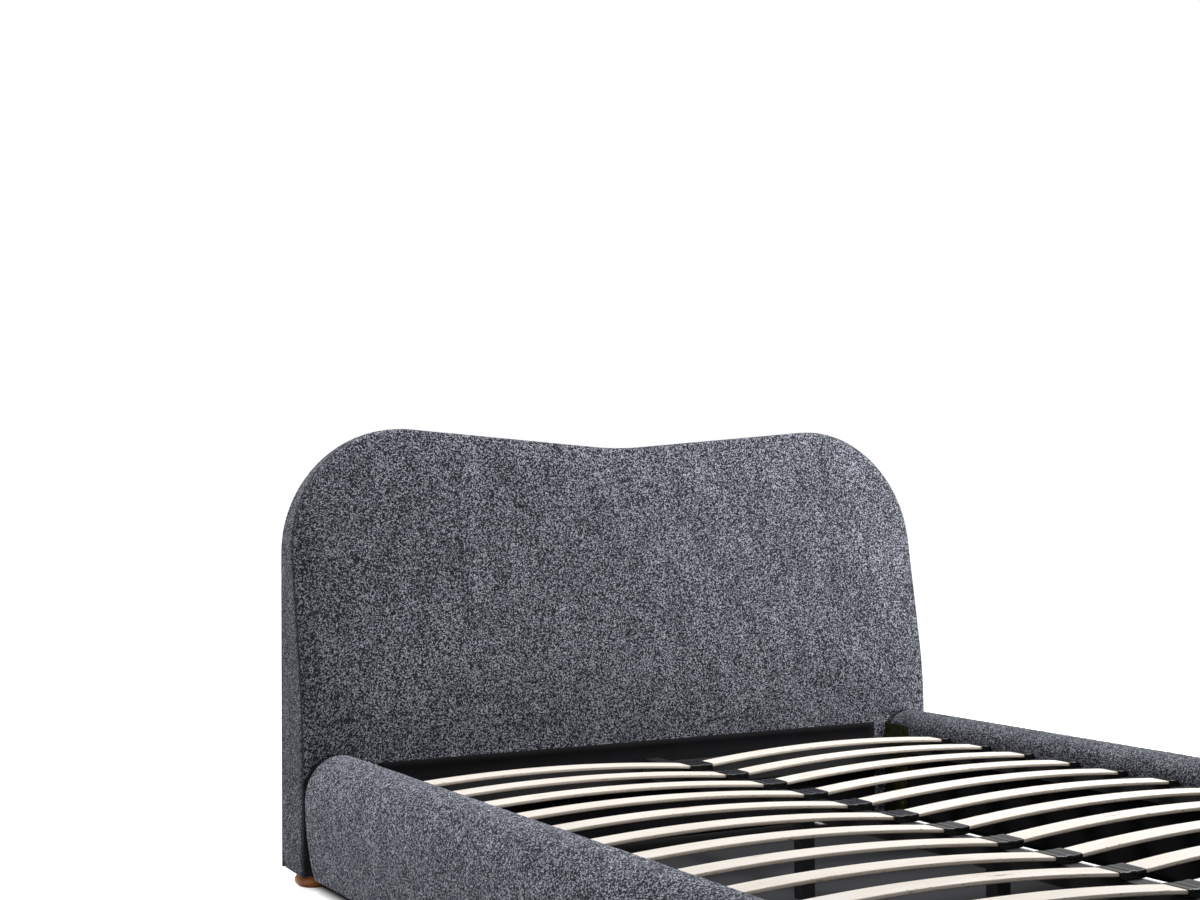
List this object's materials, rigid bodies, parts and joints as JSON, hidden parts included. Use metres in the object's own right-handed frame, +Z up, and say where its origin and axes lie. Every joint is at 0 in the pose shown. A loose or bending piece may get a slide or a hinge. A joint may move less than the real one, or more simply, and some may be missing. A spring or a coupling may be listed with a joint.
{
  "type": "upholstered bed frame",
  "caption": "Upholstered king-size bed frame with a dipped, leaning headboard, padded round-topped rails, sprung birch slats on a centre rail and turned bun feet.",
  "frame": {"origin": "on the floor under the middle of the bed's bounding box", "axes": "+Y towards the headboard, +X towards the right-hand rail seen from the foot end, +Z up"},
  "size_m": [1.79, 2.311, 1.0558],
  "materials": {
    "upholstery": "blue-grey two-tone woven boucle",
    "lining_cloth": "black non-woven",
    "slat_birch": "pale laminated birch, clear satin",
    "frame_timber": "plain sawn",
    "ledger_black": "black painted batten",
    "bun_beech": "honey-brown stained and lacquered",
    "cap_plastic": "black moulded, semi-gloss",
    "black_steel": "black powder coat",
    "plate_steel": "dark olive passivated",
    "zinc_steel": "bright zinc"
  },
  "bodies": {
    "bed_frame": {"head_bottom_beam": "frame_timber", "head_top_rail": "frame_timber", "head_rib_left": "frame_timber", "head_rib_right": "frame_timber", "headboard_panel": "frame_timber", "headboard_front_pad": "upholstery", "headboard_side_band": "upholstery", "headboard_back_cover": "upholstery", "headboard_lining": "lining_cloth", "head_ledger": "ledger_black", "side_rail_left": "frame_timber", "side_rail_right": "frame_timber", "rail_cover_left": "upholstery", "rail_cover_right": "upholstery", "side_ledger_left": "ledger_black", "side_ledger_right": "ledger_black", "footboard_frame": "frame_timber", "footboard_cover": "upholstery", "foot_ledger": "ledger_black", "inner_linings": "lining_cloth", "corner_plate_head_left": "plate_steel", "corner_plate_head_right": "plate_steel", "corner_plate_foot_left": "plate_steel", "corner_plate_foot_right": "plate_steel", "plate_screws": "zinc_steel", "centre_rail": "black_steel", "centre_rail_hangers": "zinc_steel", "centre_leg_head": "black_steel", "centre_leg_foot": "black_steel", "bun_foot_head_left": "bun_beech", "bun_foot_head_right": "bun_beech", "bun_foot_foot_left": "bun_beech", "bun_foot_foot_right": "bun_beech", "foot_bolts": "zinc_steel", "slat_side_caps": "cap_plastic", "slat_centre_caps": "cap_plastic", "slat_left_01": "slat_birch", "slat_left_02": "slat_birch", "slat_left_03": "slat_birch", "slat_left_04": "slat_birch", "slat_left_05": "slat_birch", "slat_left_06": "slat_birch", "slat_left_07": "slat_birch", "slat_left_08": "slat_birch", "slat_left_09": "slat_birch", "slat_left_10": "slat_birch", "slat_left_11": "slat_birch", "slat_right_01": "slat_birch", "slat_right_02": "slat_birch", "slat_right_03": "slat_birch", "slat_right_04": "slat_birch", "slat_right_05": "slat_birch", "slat_right_06": "slat_birch", "slat_right_07": "slat_birch", "slat_right_08": "slat_birch", "slat_right_09": "slat_birch", "slat_right_10": "slat_birch", "slat_right_11": "slat_birch"},
    "glide_head": {"centre_glide_head": "zinc_steel"},
    "glide_foot": {"centre_glide_foot": "zinc_steel"}
  },
  "joints": [
    {"name": "glide_head_screw", "type": "slide", "parent": "bed_frame", "child": "glide_head", "axis": [0, 0, 1], "range_m": [0, 0.012]},
    {"name": "glide_foot_screw", "type": "slide", "parent": "bed_frame", "child": "glide_foot", "axis": [0, 0, 1], "range_m": [0, 0.012]}
  ]
}
